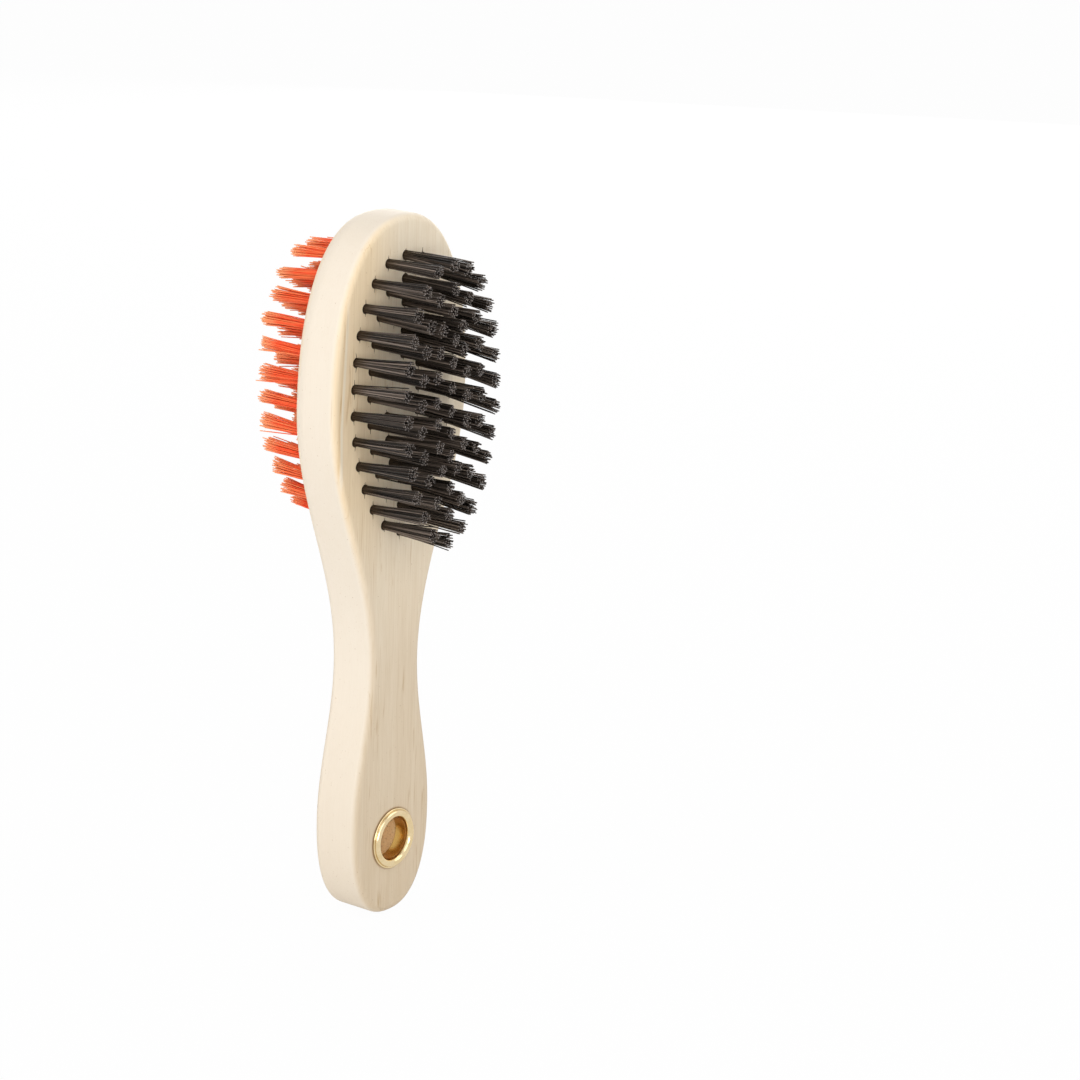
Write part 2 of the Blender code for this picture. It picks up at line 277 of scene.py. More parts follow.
# Where they change: how far the surface is turned to a face, levels, and places across the brush
FACE_TURNS = (0.3, 0.8)
FRONT_TURNS = (0.6, 0.85)
STREAK_TURNS = (0.45, 0.85)
HEAD_LEVELS = (level(75 * MM), level(125 * MM))
# Where the painted shade among the bristles lies: its levels, its places across the brush and how far its
# edge wanders
PAINTED_SHADE_LEVELS = (level(95 * MM), level(125 * MM))
PAINTED_SHADE_PLACES = (-14 * MM, -2 * MM)
PAINTED_SHADE_WANDER = 5 * MM
WANDER_CELL = (60 * MM, 60 * MM, 60 * MM)
LINE_LEVELS = (level(118 * MM), level(132 * MM), level(172 * MM), level(182 * MM))
LINE_TOP_LEVELS = (level(145 * MM), level(180 * MM))
LINE_TOP_PLACES = (-25.4 * MM, -23.3 * MM)
LINE_FOOT_LEVELS = (level(120 * MM), level(145 * MM))
LINE_FOOT_SHIFT = 0.8 * MM
LINE_HALF_WIDTHS = (0.25 * MM, 0.7 * MM)
STRIP_PLACES = (-1.6 * MM, -1 * MM, -0.8 * MM, -0.4 * MM)
FLANGE_SHADE_WIDTH = 0.5 * MM

# Marks of the grain, which run along Z: their noise, the range of it that shows and how strongly, and
# their shade
BANDS = {
    "noise": {"scale": (2.6 * MM, 6 * MM, 110 * MM), "detail": 2},
    "range": (0.36, 0.64),
    "strength": 0.9,
    "shade": (0.965, 0.945, 0.92, 1),
}
FIBRES = {
    "noise": {"scale": (0.5 * MM, 0.5 * MM, 16 * MM), "detail": 4, "roughness": 0.7},
    "range": (0.42, 0.66),
    "strength": 0.95,
    "shade": (0.93, 0.91, 0.87, 1),
}
VEINS = {
    "noise": {"scale": (1.6 * MM, 1.6 * MM, 60 * MM), "detail": 2, "roughness": 0.4},
    "half_widths": (0.004, 0.018),
    "patches": {"scale": (5 * MM, 9 * MM, 14 * MM), "detail": 1},
    "patch_range": (0.52, 0.6),
    "shade": (0.84, 0.77, 0.67, 1),
}
DASHES = {
    "noise": {"scale": (0.28 * MM, 0.28 * MM, 3.2 * MM), "detail": 2},
    "range": (0.69, 0.80),
    "strength": 0.8,
    "shade": (0.78, 0.69, 0.58, 1),
}
SPECKS = {
    "noise": {"scale": (0.5 * MM, 0.5 * MM, 0.7 * MM), "detail": 1},
    "range": (0.75, 0.78),
    "strength": 0.6,
    "shade": (0.55, 0.42, 0.28, 1),
}
SIDE_STREAK_SHARE = 0.25
DASH_RELIEF = -0.5
WOOD_ROUGHNESS = (0.50, 0.62)


def wood_tone(nodes, place, on_face):
    """Creamy sides, a head paler than the handle partly by painted light, and a browner band of painted
    shade up the -X side of the head.
    """
    across, _, height = nodes.axes(place)
    # Paler towards the head: partly the wood's tone, partly painted light against the bristles' shade
    flat = nodes.mix(nodes.ramp(height, *HEAD_LEVELS), HANDLE_TONE, HEAD_TONE_WITH_PAINTED_LIGHT)
    colour = nodes.mix(on_face, SIDE_TONE, flat)
    from_end = nodes.ramp(height, level(0), level(WAIST_HEIGHT), 1, 0)
    colour = nodes.tint(from_end, colour, END_SHADE)
    wander = nodes.math("SUBTRACT", nodes.noise(place, WANDER_CELL, 1), NOISE_MIDDLE)
    shifted = nodes.math("ADD", across, nodes.times(wander, PAINTED_SHADE_WANDER))
    # Painted shade on the -X half of the head's faces
    in_painted_shade = nodes.times(nodes.ramp(shifted, *PAINTED_SHADE_PLACES, 1, 0), nodes.ramp(height, *PAINTED_SHADE_LEVELS))
    return nodes.tint(nodes.times(in_painted_shade, on_face), colour, PAINTED_SHADE_BAND_TONE)


def add_line(nodes, colour, place, turned):
    """The pale line along the front edge of the head at -X, with a darker strip outside it."""
    across, _, height = nodes.axes(place)
    top = nodes.ramp(height, *LINE_TOP_LEVELS, *LINE_TOP_PLACES)
    foot = nodes.ramp(height, *LINE_FOOT_LEVELS, LINE_FOOT_SHIFT, 0)
    from_line = nodes.math("SUBTRACT", across, nodes.math("ADD", top, foot))
    line = nodes.ramp(nodes.math("ABSOLUTE", from_line), *LINE_HALF_WIDTHS, LINE_STRENGTH, 0)
    strip = nodes.between(from_line, *STRIP_PLACES)
    on_front = nodes.ramp(nodes.times(turned, FRONT), *FRONT_TURNS)
    near_edge = nodes.times(nodes.between(height, *LINE_LEVELS), on_front)
    colour = nodes.tint(nodes.times(strip, near_edge), colour, STRIP_SHADE)
    return nodes.mix(nodes.times(line, near_edge), colour, LINE_TONE)


def add_marks(nodes, colour, noise, marks, where=1.0):
    """A colour with the marks that a noise makes, as strong as where says."""
    share = nodes.ramp(noise, *marks["range"], 0, marks["strength"])
    return nodes.tint(nodes.times(share, where), colour, marks["shade"])


def add_veins(nodes, colour, place, on_face):
    """A colour with thin veins, which show in patches of the faces."""
    noise = nodes.noise(place, **VEINS["noise"])
    from_vein = nodes.math("ABSOLUTE", nodes.math("SUBTRACT", noise, NOISE_MIDDLE))
    near_vein = nodes.ramp(from_vein, *VEINS["half_widths"], 1, 0)
    patches = nodes.ramp(nodes.noise(place, **VEINS["patches"]), *VEINS["patch_range"])
    return nodes.tint(nodes.times(near_vein, nodes.times(patches, on_face)), colour, VEINS["shade"])


def add_flange_painted_shadow(nodes, colour, place):
    """A colour with a thin ring of painted shadow on the wood round an eyelet's flange."""
    across, _, height = nodes.axes(place)
    # Painted contact shadow, strongest at the flange's edge
    squares = nodes.math("ADD", nodes.math("POWER", across, 2), nodes.math("POWER", height, 2))
    shaded = (FLANGE_RADIUS, FLANGE_RADIUS + FLANGE_SHADE_WIDTH, FLANGE_SHADE_STRENGTH, 0)
    return nodes.tint(nodes.ramp(nodes.math("SQRT", squares), *shaded), colour, FLANGE_PAINTED_SHADOW)


def wood_material():
    """Sanded, unvarnished pale hardwood with a faint grain."""
    material, nodes, shader, place = new_material("pale_wood", Specular_IOR_Level=0.35)
    turned = nodes.axes(nodes.add("ShaderNodeTexCoord").outputs["Normal"])["Y"]
    facing = nodes.math("ABSOLUTE", turned)
    on_face = nodes.ramp(facing, *FACE_TURNS)
    streaked = nodes.ramp(facing, *STREAK_TURNS, SIDE_STREAK_SHARE, 1)
    bands, fibres, dashes, specks = (
        nodes.noise(place, **marks["noise"]) for marks in (BANDS, FIBRES, DASHES, SPECKS)
    )
    colour = add_line(nodes, wood_tone(nodes, place, on_face), place, turned)
    colour = add_marks(nodes, colour, bands, BANDS, streaked)
    colour = add_marks(nodes, colour, fibres, FIBRES, streaked)
    colour = add_veins(nodes, colour, place, on_face)
    colour = add_marks(nodes, colour, dashes, DASHES)
    colour = add_marks(nodes, colour, specks, SPECKS)
    colour = add_flange_painted_shadow(nodes, colour, place)
    nodes.set(shader.inputs["Base Color"], colour)
    nodes.set(shader.inputs["Roughness"], nodes.ramp(fibres, *NOISE_RANGE, *WOOD_ROUGHNESS))
    relief = nodes.math("ADD", fibres, nodes.times(dashes, DASH_RELIEF))
    nodes.bump(shader, relief, strength=0.12, distance=0.1 * MM)
    return material


def hole_shade_material():
    """Dark wood inside a drilled tuft hole and its nicks: painted shade of their depth."""
    dark, light = (0.13, 0.08, 0.04, 1), (0.26, 0.17, 0.09, 1)
    material, nodes, shader, place = new_material("hole_painted_shade", Roughness=0.8)
    fibres = nodes.noise(place, (0.3 * MM, 0.3 * MM, 1.5 * MM))
    nodes.set(shader.inputs["Base Color"], nodes.mix(nodes.ramp(fibres, *NOISE_RANGE), dark, light))
    return material


def bore_material():
    """Rough tan wood of the hanging hole's wall, torn and cracked across its depth."""
    dark, light, crack = (0.82, 0.56, 0.29, 1), (0.96, 0.72, 0.42, 1), (0.22, 0.11, 0.035, 1)
    crack_range, crack_strength = (0.58, 0.66), 0.85
    material, nodes, shader, place = new_material("bore_wood", Roughness=0.75)
    fibres = nodes.noise(place, (0.5 * MM, 0.5 * MM, 3 * MM), detail=4)
    cracks = nodes.noise(place, (1.2 * MM, 0.8 * MM, 0.5 * MM), detail=5, roughness=0.7)
    colour = nodes.mix(nodes.ramp(fibres, *NOISE_MIDDLE_RANGE), dark, light)
    colour = nodes.mix(nodes.ramp(cracks, *crack_range, 0, crack_strength), colour, crack)
    nodes.set(shader.inputs["Base Color"], colour)
    nodes.bump(shader, cracks, strength=0.6, distance=0.3 * MM)
    return material


def brass_material(name, dark, light, roughness):
    """Brass with faint handling marks, which make it smoother and rougher in places."""
    mark_range, smoothest, roughest = (0.35, 0.7), roughness * 0.6, roughness * 1.4
    material, nodes, shader, place = new_material(name, Metallic=1.0)
    tone = nodes.noise(place, (2.5 * MM, 2.5 * MM, 2.5 * MM))
    marks = nodes.noise(place, (0.25 * MM, 0.25 * MM, 0.25 * MM))
    nodes.set(shader.inputs["Base Color"], nodes.mix(nodes.ramp(tone, *NOISE_RANGE), dark, light))
    nodes.set(shader.inputs["Roughness"], nodes.ramp(marks, *mark_range, smoothest, roughest))
    nodes.bump(shader, tone, strength=0.08, distance=0.05 * MM)
    return material


def bristle_share(nodes, noise, own_share):
    """How light a bristle is: its own tone as far as its share says, and for the rest a noise."""
    tone = nodes.add("ShaderNodeAttribute", attribute_name="tone").outputs["Fac"]
    return nodes.math("ADD", nodes.times(tone, own_share), nodes.times(noise, 1 - own_share))


def bristle_material(name, tones, reaches, evenness, **sockets):
    """Extruded filament: each bristle has its own tone, streaks run along it, and its ends differ.

    The tones are those of the root, of the darkest and the lightest filament, and of the tip. The reaches
    are the root's, the whole bristle's and the tip's. The higher the evenness, the fewer light filaments.
    """
    root, dark, light, end = tones
    root_reach, length, end_reach = reaches
    material, nodes, shader, place = new_material(name, **sockets)
    streaks = nodes.noise(place, (0.12 * MM, 4 * MM, 0.12 * MM), detail=2)
    share = bristle_share(nodes, streaks, own_share=0.75)
    middle = nodes.mix(nodes.math("POWER", share, evenness), dark, light)
    depth = nodes.math("SUBTRACT", nodes.math("ABSOLUTE", nodes.axes(place)["Y"]), HALF_THICKNESS)
    colour = nodes.mix(nodes.ramp(depth, 0, root_reach), root, middle)
    at_end = nodes.ramp(depth, length - end_reach, length)
    nodes.set(shader.inputs["Base Color"], nodes.mix(at_end, colour, end))
    nodes.bump(shader, streaks, strength=0.2, distance=0.03 * MM)
    return material


def cut_end_material(name, dark, light, roughness):
    """The cut end of a filament, paler than its side: partly the paler cut nylon, partly painted glints."""
    material, nodes, shader, place = new_material(name, Roughness=roughness)
    rough = nodes.noise(place, (0.1 * MM, 0.1 * MM, 0.1 * MM), detail=2)
    share = bristle_share(nodes, rough, own_share=0.6)
    nodes.set(shader.inputs["Base Color"], nodes.mix(share, dark, light))
    return material


# Meshes


def mesh_object(name, bm, materials, smooth_angle=None):
    bmesh.ops.recalc_face_normals(bm, faces=bm.faces)
    mesh = bpy.data.meshes.new(name)
    bm.to_mesh(mesh)
    bm.free()
    if smooth_angle is not None:
        mesh.shade_smooth()
        mesh.set_sharp_from_angle(angle=smooth_angle)
    for material in materials:
        mesh.materials.append(material)
    obj = bpy.data.objects.new(name, mesh)
    bpy.context.scene.collection.objects.link(obj)
    return obj


def bridge(bm, first, second):
    """Joins two closed loops of as many vertices with quads."""
    for i, vert in enumerate(first):
        j = (i + 1) % len(first)
        bm.faces.new((vert, first[j], second[j], second[i]))


def prism(bm, outline, near_y, far_y):
    """Adds a closed body whose ends are a flat outline of (x, z) points at two depths."""
    near = [bm.verts.new((x, near_y, z)) for x, z in outline]
    far = [bm.verts.new((x, far_y, z)) for x, z in outline]
    bm.faces.new(near)
    bm.faces.new(reversed(far))
    bridge(bm, near, far)


def place_piece(piece, slot, *nodes):
    """Rides a finished piece on the brush, in place of its nodes of the frame."""
    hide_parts(*nodes)
    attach(piece, "root")


def arc(turn, steps):
    """The cosine and sine at equal steps from 0 to a turn."""
    return [(math.cos(turn * i / steps), math.sin(turn * i / steps)) for i in range(steps + 1)]


# Wooden body


def cap_points(half_width, reach, power, steps):
    """A rounded end: (half width, rise) from its widest place to its tip, as a superellipse."""
    angles = [math.pi / 2 * math.sin(math.pi / 2 * i / steps) for i in range(steps + 1)]
    return [
        (half_width * math.cos(a) ** (2 / power), reach * math.sin(a) ** (2 / power))
        for a in angles
    ]


def ease_points(low, high, steps):
    """Points between two (half width, height) places, leaving both along the brush."""
    points = []
    for i in range(1, steps):
        share = i / steps
        ease = (1 - math.cos(math.pi * share)) / 2
        points.append((low[0] + (high[0] - low[0]) * ease, low[1] + (high[1] - low[1]) * share))
    return points


def body_outline():
    """The closed outline of the paddle as (x, height) points, from the end of the handle up the +X side."""
    grip = (GRIP_WIDTH / 2, GRIP_WIDEST_HEIGHT)
    waist = (WAIST_WIDTH / 2, WAIST_HEIGHT)
    head = (HEAD_WIDTH / 2, HEAD_WIDEST_HEIGHT)
    handle_end = cap_points(grip[0], grip[1], GRIP_END_POWER, CAP_STEPS)
    head_end = cap_points(head[0], LENGTH - head[1], HEAD_END_POWER, CAP_STEPS)
    side = [(x, grip[1] - drop) for x, drop in reversed(handle_end)]
    side += ease_points(grip, waist, HANDLE_STEPS) + [waist]
    side += ease_points(waist, head, NECK_STEPS)
    side += [(x, head[1] + rise) for x, rise in head_end]
    side[0], side[-1] = (0, side[0][1]), (0, side[-1][1])
    return np.array(side + [(-x, z) for x, z in reversed(side[1:-1])])


def outline_normals(points):
    """Unit vectors from each point of a closed outline towards its inside."""
    tangent = np.roll(points, -1, axis=0) - np.roll(points, 1, axis=0)
    normal = np.stack([-tangent[:, 1], tangent[:, 0]], axis=1)
    return normal / np.linalg.norm(normal, axis=1)[:, None]


def edge_sizes(heights, face):
    """How far a face's rounded edge reaches in from the outline and down from the face, by height."""
    share = np.clip((heights - WAIST_HEIGHT) / (LENGTH - WAIST_HEIGHT), 0, 1)
    ease = share * share * (3 - 2 * share) * (face == BACK)
    inward = EDGE_RADIUS + (HEAD_BACK_EDGE_REACH - EDGE_RADIUS) * ease
    depth = EDGE_RADIUS + (HEAD_BACK_EDGE_DEPTH - EDGE_RADIUS) * ease
    return inward, depth


def make_paddle(wood):
    """The paddle without its holes: loops from the front face round the edges, and two flat faces."""
    outline = body_outline()
    normals = outline_normals(outline)
    turns = arc(math.pi / 2, EDGE_STEPS)
    bm = bmesh.new()
    loops = []
    levels = [(FRONT, turn) for turn in turns] + [(BACK, turn) for turn in reversed(turns)]
    for face, (cosine, sine) in levels:
        inward, depth = edge_sizes(outline[:, 1], face)
        spots = outline + normals * (inward * (1 - sine))[:, None]
        depths = face * (HALF_THICKNESS - depth * (1 - cosine))
        loops.append([bm.verts.new((x, y, level(z))) for (x, z), y in zip(spots, depths)])
    for first, second in zip(loops, loops[1:]):
        bridge(bm, first, second)
    for loop in (loops[0], loops[-1]):
        count = len(loop)
        for i in range(count // 2):
            rung = (loop[i], loop[i + 1], loop[count - i - 1], loop[(count - i) % count])
            bm.faces.new(dict.fromkeys(rung))
    return mesh_object("paddle", bm, [wood])


def nicked_outline(place, draw):
    """A drilled hole with the nicks that its anchor wire leaves above and below it."""
    half_turn = math.asin(NICK_HALF_WIDTH / HOLE_RADIUS)
    end_half_width = NICK_END_SHARE * NICK_HALF_WIDTH
    span, steps = math.pi - 2 * half_turn, HOLE_STEPS // 2
    points = []
    for way in (1, -1):
        shift = draw.uniform(-NICK_SHIFT, NICK_SHIFT)
        reach = HOLE_RADIUS + NICK_REACH * draw.uniform(NICK_LEAST_SHARE, 1)
        before, after = way * math.pi / 2 - half_turn, way * math.pi / 2 + half_turn
        round_side = [after + span * i / steps for i in range(steps)]
        points.append((HOLE_RADIUS * math.cos(before), HOLE_RADIUS * math.sin(before)))
        points += [(side * way * end_half_width + shift, way * reach) for side in (1, -1)]
        points += [(HOLE_RADIUS * math.cos(a), HOLE_RADIUS * math.sin(a)) for a in round_side]
    return [(place[0] + x, place[1] + z) for x, z in points]


def make_cutter(name, outlines, near_y, far_y, material):
    bm = bmesh.new()
    for outline in outlines:
        prism(bm, outline, near_y, far_y)
    return mesh_object(name, bm, [material])


def cut(target, cutter):
    """Cuts a mesh out of another and keeps the cutter's material on the faces it leaves."""
    modifier = target.modifiers.new(cutter.name, "BOOLEAN")
    modifier.operation = "DIFFERENCE"
    modifier.solver = "EXACT"
    modifier.material_mode = "TRANSFER"
    modifier.object = cutter
    bpy.context.view_layer.update()
    evaluated = target.evaluated_get(bpy.context.evaluated_depsgraph_get())
    mesh = bpy.data.meshes.new_from_object(evaluated)
    target.modifiers.clear()
    target.data = mesh
    bpy.data.objects.remove(cutter, do_unlink=True)


def make_wooden_body():
    draw = np.random.default_rng(NICK_SEED)
    body = make_paddle(wood_material())
    # The holes and nicks take a material of painted shade
    drilled = hole_shade_material()
    for face in (FRONT, BACK):
        places = [place for run in field_strips().values() for place in run]
        outlines = [nicked_outline(place, draw) for place in places]
        near, far = face * (HALF_THICKNESS + OVERRUN), face * (HALF_THICKNESS - HOLE_DEPTH)
        cut(body, make_cutter("tuft_hole_cutter", outlines, near, far, drilled))
    turns = arc(math.tau, ROUND_STEPS)[:-1]
    circle = [(BORE_RADIUS * cosine, BORE_RADIUS * sine) for cosine, sine in turns]
    reach = HALF_THICKNESS + OVERRUN
    cut(body, make_cutter("bore_cutter", [circle], -reach, reach, bore_material()))
    body.name = "wooden_body"
    body.data.shade_smooth()
    body.data.set_sharp_from_angle(angle=BODY_CREASE)
    weighted = body.modifiers.new("even_shading", "WEIGHTED_NORMAL")
    weighted.keep_sharp = True
    place_piece(body, "wood", "wood_body")


# Eyelets


def eyelet_profile():
    """(radius, height above the wood) round the wall of an eyelet: rolled rim, dome, throat, barrel."""
    top = FLANGE_GAP + FLANGE_RISE
    foot_radius, foot = FLANGE_RADIUS - DOME_FOOT_INSET, EYELET_LIFT + DOME_FOOT_RISE
    rim = [
        (FLANGE_RADIUS - RIM_ROLL + RIM_ROLL * sine, EYELET_LIFT + RIM_ROLL * (1 - cosine))
        for cosine, sine in arc(math.pi, RIM_STEPS)
    ]
    dome = [
        (CREST_RADIUS + (foot_radius - CREST_RADIUS) * cosine, foot + (top - foot) * sine)
        for cosine, sine in arc(math.pi / 2, DOME_STEPS)
    ]
    throat = [
        (THROAT_RADIUS + (CREST_RADIUS - THROAT_RADIUS) * (1 - sine), top - THROAT_DROP * (1 - cosine))
        for cosine, sine in arc(math.pi / 2, THROAT_STEPS)[1:]
    ]
    barrel = [
        (THROAT_RADIUS, BARREL_LIP_DEPTH - BARREL_DEPTH),
        (THROAT_RADIUS + BARREL_LIP, -BARREL_DEPTH),
        (THROAT_RADIUS + EYELET_WALL, BARREL_LIP - BARREL_DEPTH),
        (THROAT_RADIUS + EYELET_WALL, EYELET_LIFT),
    ]
    return rim + dome + throat + barrel


def make_eyelet(name, face, brass):
    """An eyelet whose barrel, below its shiny mouth, is of the second of two brasses: a darker one, painted
    reflection of the dark wood across the bore.
    """
    bm = bmesh.new()
    turns = arc(math.tau, ROUND_STEPS)[:-1]
    rings = []
    for radius, rise in eyelet_profile():
        y = face * (HALF_THICKNESS + rise)
        rings.append([bm.verts.new((radius * cosine, y, radius * sine)) for cosine, sine in turns])
    for i, ring in enumerate(rings):
        bridge(bm, ring, rings[(i + 1) % len(rings)])
    for wall in bm.faces:
        depth = HALF_THICKNESS - abs(wall.calc_center_median().y)
        # Deeper walls take the darker brass of painted reflection
        wall.material_index = int(depth > BARREL_PAINTED_REFLECTION_DEPTH)
    place_piece(mesh_object(f"brass_{name}", bm, brass, EYELET_CREASE), "brass", name)


def make_eyelets():
    brass = [
        brass_material("polished_brass", (0.71, 0.55, 0.30, 1), (0.79, 0.64, 0.40, 1), 0.17),
        # Darker brass: painted reflection of the dark wood that the barrel faces
        brass_material("barrel_brass_painted_reflection", (0.52, 0.30, 0.075, 1), (0.60, 0.36, 0.10, 1), 0.30),
    ]
    make_eyelet("front_eyelet", FRONT, brass)
    make_eyelet("back_eyelet", BACK, brass)


# Tufts

# A style has the slot and materials of its bristles, how many a tuft has and how thick and long they are,
# how far they spread at root and tip, how far they lean and stray, how much shorter some are, and how they
# bend.


def field_path(step_in):
    """A closed ring of (x, height) points round the field, from its top down the -X side."""
    top_reach = FIELD_TOP_REACH - step_in * TOP_STEP_SHARE
    bottom_reach = FIELD_BOTTOM_REACH - step_in * BOTTOM_STEP_SHARE
    half_width = FIELD_HALF_WIDTH - step_in
    points = []
    for i in range(RING_SAMPLES + 1):
        angle = math.tau * i / RING_SAMPLES
        across, along = math.sin(angle), math.cos(angle)
        power = FIELD_TOP_POWER if along > 0 else FIELD_BOTTOM_POWER
        reach = top_reach if along > 0 else bottom_reach
        x = -half_width * math.copysign(abs(across) ** (2 / power), across)
        rise = reach * math.copysign(abs(along) ** (2 / power), along)
        points.append((x, HEAD_WIDEST_HEIGHT + rise))
    return np.array(points)


def places_along(path, travel, stops):
    """The (x, z) places at some distances along a path of (x, height) points."""
    x = np.interp(stops, travel, path[:, 0])
    height = np.interp(stops, travel, path[:, 1])
    return [(px, level(pz)) for px, pz in zip(x, height)]


def path_travel(path):
    """How far each point of a path lies along it."""
    steps = np.linalg.norm(np.diff(path, axis=0), axis=1)
    return np.concatenate([[0], np.cumsum(steps)])


def ring_places(step_in):
    """A ring's tufts at equal spacing, one of them at its top and one at its bottom.

    They start one place before the top, so that one strip of them lies over it.
    """
    path = field_path(step_in)
    travel = path_travel(path)
    pairs = max(1, round(travel[-1] / TUFT_SPACING / 2))
    stops = np.linspace(0, travel[-1], 2 * pairs, endpoint=False)
    return places_along(path, travel, np.roll(stops, 1))


def centre_places():
    """The tufts of the centre row, from top to bottom: one side of a ring that has no width."""
    path = field_path(FIELD_HALF_WIDTH)[: RING_SAMPLES // 2 + 1]
    travel = path_travel(path)
    first, last = CENTRE_ROW_MARGIN, travel[-1] - CENTRE_ROW_MARGIN
    count = max(2, round((last - first) / TUFT_SPACING) + 1)
    return places_along(path, travel, np.linspace(first, last, count))


def field_strips():
    """The tuft places of each strip of the field, by its name."""
    rows = [("centre", centre_places(), CENTRE_ROW_STRIPS)]
    for k, (name, strips) in enumerate(RING_STRIPS.items()):
        step_in = FIELD_HALF_WIDTH * k / len(RING_STRIPS)
        rows.append((name, ring_places(step_in), strips))
    return {
        f"{name}_tufts_{number}": run
        for name, places, strips in rows
        for number, run in enumerate(np.array_split(places, strips), start=1)
    }


def field_shares(place):
    """How far a tuft stands from the middle of the field towards its edge, across and along the brush."""
    rise = place[1] - level(HEAD_WIDEST_HEIGHT)
    reach = FIELD_TOP_REACH if rise > 0 else FIELD_BOTTOM_REACH
    return place[0] / FIELD_HALF_WIDTH, rise / reach


def tuft_lean(place, style, draw):
    """How far the middle of a tuft's tips ends up from above its hole, as (x, z)."""
    x_share, z_share = field_shares(place)
    lean = np.array([-style["side_lean"] * x_share, -style["end_lean"] * z_share])
    lean[1] -= style["skew"] * x_share
    return lean + draw.normal(0, 1, 2) * style["tuft_lean"]


def tuft_ends(place, style, draw):
    """Where a tuft's bristles start and end, as (bristles, x z) from the middle of its hole."""
    count = style["count"]
    order = np.arange(count)
    angle = order * GOLDEN_ANGLE + draw.uniform(0, math.tau)
    spread = np.sqrt((order + 0.5) / count)
    fan = np.array([draw.uniform(*style["fan"]), draw.uniform(*style["fan"])])
    direction = np.stack([np.cos(angle), np.sin(angle)], axis=1)
    stray = draw.normal(0, 1, (count, 2)) * style["stray"]
    stray[draw.uniform(0, 1, count) < style["wild_share"]] *= style["wildness"]
    edge_share = min(1, math.hypot(*field_shares(place)))
    tip_radius = style["tip_radius"] * (style["inner_share"] + (1 - style["inner_share"]) * edge_share)
    root = direction * spread[:, None] * style["root_radius"]
    tip = direction * (spread * tip_radius)[:, None] * fan + stray + tuft_lean(place, style, draw)
    return root, tip


def bristle_lengths(place, style, draw):
    """How far each bristle of a tuft stands out of the wood."""
    low_share = max(0, level(HEAD_WIDEST_HEIGHT) - place[1]) / FIELD_BOTTOM_REACH
    length = style["length"] - draw.uniform(*style["tuft_short"]) - style["low_short"] * low_share
    return length - np.abs(draw.normal(0, 1, style["count"])) * style["short"]


def tuft_paths(place, style, draw):
    """The middle line of each bristle of a tuft, from hole to tip, as (bristles, sections, x depth z)."""
    root, tip = tuft_ends(place, style, draw)
    total = BRISTLE_ROOT_DEPTH + bristle_lengths(place, style, draw)
    bow = draw.normal(0, 1, (style["count"], 2)) * style["bow"]
    share = np.linspace(0, 1, BRISTLE_SECTIONS)
    curve, arch = share ** style["curve"], share * (1 - share) * 4
    across = root[:, None] + (tip - root)[:, None] * curve[None, :, None]
    across = across + bow[:, None] * arch[None, :, None] + np.array(place)
    depth = HALF_THICKNESS - BRISTLE_ROOT_DEPTH + total[:, None] * share[None]
    return np.stack([across[..., 0], depth, across[..., 1]], axis=2)


def bristle_faces(count, face):
    """The faces of some bristles and their materials: the first one, and the second at a cut end."""
    faces, slots = [], []
    for bristle in range(count):
        first = bristle * BRISTLE_SECTIONS * BRISTLE_SIDES
        rings = [
            [first + section * BRISTLE_SIDES + side for side in range(BRISTLE_SIDES)]
            for section in range(BRISTLE_SECTIONS)
        ]
        for low, high in zip(rings, rings[1:]):
            for i in range(BRISTLE_SIDES):
                j = (i + 1) % BRISTLE_SIDES
                faces.append((low[i], low[j], high[j], high[i]))
                slots.append(0)
        faces += [tuple(reversed(rings[0])), tuple(rings[-1])]
        slots += [0, 1]
    if face == BACK:
        faces = [tuple(reversed(corners)) for corners in faces]
    return faces, slots


def make_tufts(name, places, face, style, draw):
    """A node's run of tufts as one mesh of separate bristles."""
    paths = np.concatenate([tuft_paths(place, style, draw) for place in places])
    count = len(paths)
    turns = math.tau * (np.arange(BRISTLE_SIDES) / BRISTLE_SIDES)
    turns = turns[None] + draw.uniform(0, math.tau, (count, 1))
    section = np.stack([np.cos(turns), np.zeros_like(turns), np.sin(turns)], axis=2)
    radius = style["radius"] * draw.uniform(*BRISTLE_RADIUS_SHARES, (count, 1, 1, 1))
    verts = paths[:, :, None, :] + section[:, None] * radius
    verts[..., 1] *= face
    faces, slots = bristle_faces(count, face)
    mesh = bpy.data.meshes.new(name)
    mesh.from_pydata(verts.reshape(-1, 3).tolist(), [], faces)
    mesh.polygons.foreach_set("material_index", slots)
    tones = np.repeat(draw.uniform(0, 1, count), BRISTLE_SECTIONS * BRISTLE_SIDES)
    tone = mesh.attributes.new("tone", "FLOAT", "POINT")
    tone.data.foreach_set("value", tones.astype(np.float32))
    mesh.shade_smooth()
    mesh.set_sharp_from_angle(angle=BRISTLE_CREASE)
    for material in style["materials"]:
        mesh.materials.append(material)
    mesh.update()
    tufts = bpy.data.objects.new(f"{name}_bristles", mesh)
    bpy.context.scene.collection.objects.link(tufts)
    place_piece(tufts, style["slot"], name)


def make_field(colour, face, style, seed):
    """A face's tufts, strip by strip."""
    draw = np.random.default_rng(seed)
    for name, places in field_strips().items():
        make_tufts(f"{colour}_{name}", places, face, style, draw)


